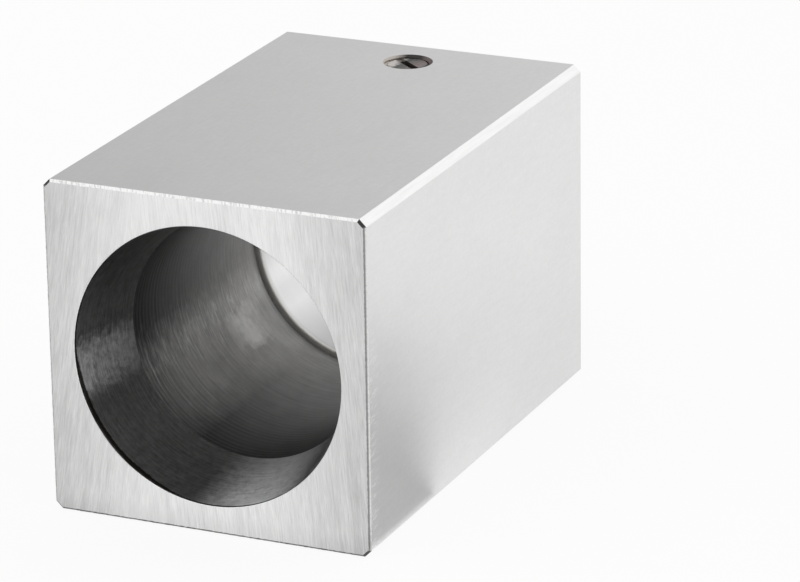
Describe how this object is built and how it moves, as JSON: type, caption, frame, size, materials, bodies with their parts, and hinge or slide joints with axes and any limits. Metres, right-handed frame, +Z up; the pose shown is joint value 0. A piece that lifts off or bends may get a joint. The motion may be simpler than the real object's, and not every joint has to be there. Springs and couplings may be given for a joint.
{
  "type": "square collet block",
  "caption": "Square steel block that holds a spring collet in a tapered bore, for indexing round work in a vise, with a slotted key screw on top.",
  "frame": {"origin": "centre of the bottom flat, midway between the mouth face and the rear face", "axes": "+Z up through the flat that carries the key screw, +Y along the bore from the mouth to the rear, +X to the right as seen from the mouth"},
  "size_m": [0.0444, 0.0698, 0.0444],
  "materials": {
    "ground_steel": "surface ground flats, turned and ground bore",
    "browned_steel": "oil browned, worn on the slotted end"
  },
  "bodies": {
    "block": {"block": "ground_steel"},
    "key_screw": {"key_screw": "browned_steel"}
  },
  "joints": [
    {"name": "key_screw_travel", "type": "slide", "parent": "block", "child": "key_screw", "axis": [0, 0, 1], "range_m": [-0.00181, 0.00272]}
  ]
}
